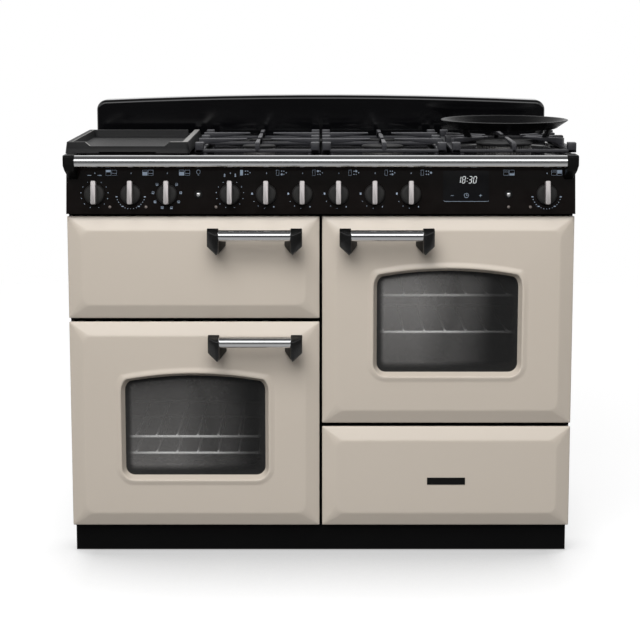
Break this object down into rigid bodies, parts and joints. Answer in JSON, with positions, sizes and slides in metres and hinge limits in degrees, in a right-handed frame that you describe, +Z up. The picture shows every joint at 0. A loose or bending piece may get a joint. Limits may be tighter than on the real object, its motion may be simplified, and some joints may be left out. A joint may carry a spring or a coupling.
{
  "type": "range cooker",
  "caption": "Free-standing range cooker with side-hinged oven and grill doors, storage drawer, knob panel, hand rail, gas hob with griddle, grates and wok cradle, and a low backguard.",
  "frame": {"origin": "on the floor, midway between the sides and between the handles and the back", "axes": "+X to the cooker's right seen from the front, +Y to its back, +Z up"},
  "size_m": [1.12, 0.652, 0.9899],
  "materials": {
    "painted_front": "warm stone gloss paint",
    "black_enamel": "gloss black vitreous enamel",
    "black_frame": "satin black paint",
    "black_glass": "gloss black fascia",
    "cavity_enamel": "dark grey speckled enamel",
    "chrome": "polished chrome",
    "galvanised": "zinc coated sheet",
    "oven_glass": "tinted heat resisting glass",
    "cast_iron": "matt black enamelled cast iron",
    "burner_alloy": "cast aluminium",
    "brass": "machined brass",
    "element_steel": "heat darkened steel",
    "knob_finish": "satin metal bar on a black skirt"
  },
  "bodies": {
    "body": {"chassis": "galvanised", "side_panels": "black_frame", "rear_panel": "galvanised", "front_frame": "black_frame", "plinth": "black_frame", "levelling_feet": "element_steel", "grill_liner": "cavity_enamel", "left_oven_liner": "cavity_enamel", "right_oven_liner": "cavity_enamel", "drawer_runners": "galvanised", "grill_element": "element_steel", "grill_pan": "cavity_enamel", "oven_shelves": "chrome", "fan_covers": "cavity_enamel", "fan_motors": "galvanised", "hob_top": "black_enamel", "backguard": "black_enamel", "hand_rail": "chrome", "rail_brackets": "black_frame", "control_panel": "black_glass", "clock_window": "black_glass", "burner_heads": "burner_alloy", "burner_caps": "black_enamel", "hotplate": "cast_iron", "tap_rail": "brass"},
    "grill_door": {"grill_door_panel": "painted_front", "grill_door_liner": "cavity_enamel", "grill_handle_bar": "chrome", "grill_handle_ends": "black_frame"},
    "left_oven_door": {"left_door_panel": "painted_front", "left_door_liner": "cavity_enamel", "left_door_glass": "oven_glass", "left_handle_bar": "chrome", "left_handle_ends": "black_frame"},
    "right_oven_door": {"right_door_panel": "painted_front", "right_door_liner": "cavity_enamel", "right_door_glass": "oven_glass", "right_handle_bar": "chrome", "right_handle_ends": "black_frame"},
    "drawer": {"drawer_front": "painted_front", "drawer_box": "galvanised"},
    "knob_1": {"knob_1": "knob_finish"},
    "knob_2": {"knob_2": "knob_finish"},
    "knob_3": {"knob_3": "knob_finish"},
    "knob_4": {"knob_4": "knob_finish"},
    "knob_5": {"knob_5": "knob_finish"},
    "knob_6": {"knob_6": "knob_finish"},
    "knob_7": {"knob_7": "knob_finish"},
    "knob_8": {"knob_8": "knob_finish"},
    "knob_9": {"knob_9": "knob_finish"},
    "knob_10": {"knob_10": "knob_finish"},
    "left_lamp_button": {"left_lamp_button": "chrome"},
    "right_lamp_button": {"right_lamp_button": "chrome"},
    "left_oven_fan": {"left_oven_fan": "galvanised"},
    "right_oven_fan": {"right_oven_fan": "galvanised"},
    "griddle": {"griddle": "cast_iron"},
    "grate_left": {"grate_left": "cast_iron"},
    "grate_middle": {"grate_middle": "cast_iron"},
    "grate_right": {"grate_right": "cast_iron"},
    "wok_cradle": {"wok_cradle": "cast_iron"}
  },
  "joints": [
    {"name": "grill_door_hinge", "type": "hinge", "parent": "body", "child": "grill_door", "pos_m": [-0.539, -0.24, 0.644], "axis": [0, 0, -1], "range_deg": [0, 100]},
    {"name": "left_oven_door_hinge", "type": "hinge", "parent": "body", "child": "left_oven_door", "pos_m": [-0.539, -0.24, 0.295], "axis": [0, 0, -1], "range_deg": [0, 100]},
    {"name": "right_oven_door_hinge", "type": "hinge", "parent": "body", "child": "right_oven_door", "pos_m": [0.539, -0.24, 0.527], "axis": [0, 0, 1], "range_deg": [0, 100]},
    {"name": "drawer_slide", "type": "slide", "parent": "body", "child": "drawer", "axis": [0, -1, 0], "range_m": [0, 0.4]},
    {"name": "knob_1_turn", "type": "hinge", "parent": "body", "child": "knob_1", "pos_m": [-0.488, -0.2677, 0.804], "axis": [0, -0.9889, 0.1483], "range_deg": [-150, 150]},
    {"name": "knob_2_turn", "type": "hinge", "parent": "body", "child": "knob_2", "pos_m": [-0.41, -0.2677, 0.804], "axis": [0, -0.9889, 0.1483], "range_deg": [-255, 0]},
    {"name": "knob_3_turn", "type": "hinge", "parent": "body", "child": "knob_3", "pos_m": [-0.332, -0.2677, 0.804], "axis": [0, -0.9889, 0.1483], "continuous": true},
    {"name": "knob_4_turn", "type": "hinge", "parent": "body", "child": "knob_4", "pos_m": [-0.196, -0.2677, 0.804], "axis": [0, -0.9889, 0.1483], "range_deg": [-150, 150]},
    {"name": "knob_5_turn", "type": "hinge", "parent": "body", "child": "knob_5", "pos_m": [-0.118, -0.2677, 0.804], "axis": [0, -0.9889, 0.1483], "range_deg": [0, 200]},
    {"name": "knob_6_turn", "type": "hinge", "parent": "body", "child": "knob_6", "pos_m": [-0.04, -0.2677, 0.804], "axis": [0, -0.9889, 0.1483], "range_deg": [0, 200]},
    {"name": "knob_7_turn", "type": "hinge", "parent": "body", "child": "knob_7", "pos_m": [0.038, -0.2677, 0.804], "axis": [0, -0.9889, 0.1483], "range_deg": [0, 200]},
    {"name": "knob_8_turn", "type": "hinge", "parent": "body", "child": "knob_8", "pos_m": [0.116, -0.2677, 0.804], "axis": [0, -0.9889, 0.1483], "range_deg": [0, 200]},
    {"name": "knob_9_turn", "type": "hinge", "parent": "body", "child": "knob_9", "pos_m": [0.194, -0.2677, 0.804], "axis": [0, -0.9889, 0.1483], "range_deg": [0, 200]},
    {"name": "knob_10_turn", "type": "hinge", "parent": "body", "child": "knob_10", "pos_m": [0.487, -0.2677, 0.804], "axis": [0, -0.9889, 0.1483], "range_deg": [-255, 0]},
    {"name": "left_lamp_button_push", "type": "slide", "parent": "body", "child": "left_lamp_button", "axis": [0, 0.9889, -0.1483], "range_m": [0, 0.0025], "stiffness_N_per_m": 300},
    {"name": "right_lamp_button_push", "type": "slide", "parent": "body", "child": "right_lamp_button", "axis": [0, 0.9889, -0.1483], "range_m": [0, 0.0025], "stiffness_N_per_m": 300},
    {"name": "left_oven_fan_spin", "type": "hinge", "parent": "body", "child": "left_oven_fan", "pos_m": [-0.276, 0.198, 0.295], "axis": [0, 1, 0], "continuous": true},
    {"name": "right_oven_fan_spin", "type": "hinge", "parent": "body", "child": "right_oven_fan", "pos_m": [0.276, 0.198, 0.527], "axis": [0, 1, 0], "continuous": true},
    {"name": "griddle_lift", "type": "slide", "parent": "body", "child": "griddle", "axis": [0, 0, 1], "range_m": [0, 0.1]},
    {"name": "grate_left_lift", "type": "slide", "parent": "body", "child": "grate_left", "axis": [0, 0, 1], "range_m": [0, 0.1]},
    {"name": "grate_middle_lift", "type": "slide", "parent": "body", "child": "grate_middle", "axis": [0, 0, 1], "range_m": [0, 0.1]},
    {"name": "grate_right_lift", "type": "slide", "parent": "body", "child": "grate_right", "axis": [0, 0, 1], "range_m": [0, 0.1]},
    {"name": "wok_cradle_lift", "type": "slide", "parent": "grate_right", "child": "wok_cradle", "axis": [0, 0, 1], "range_m": [0, 0.12]}
  ]
}
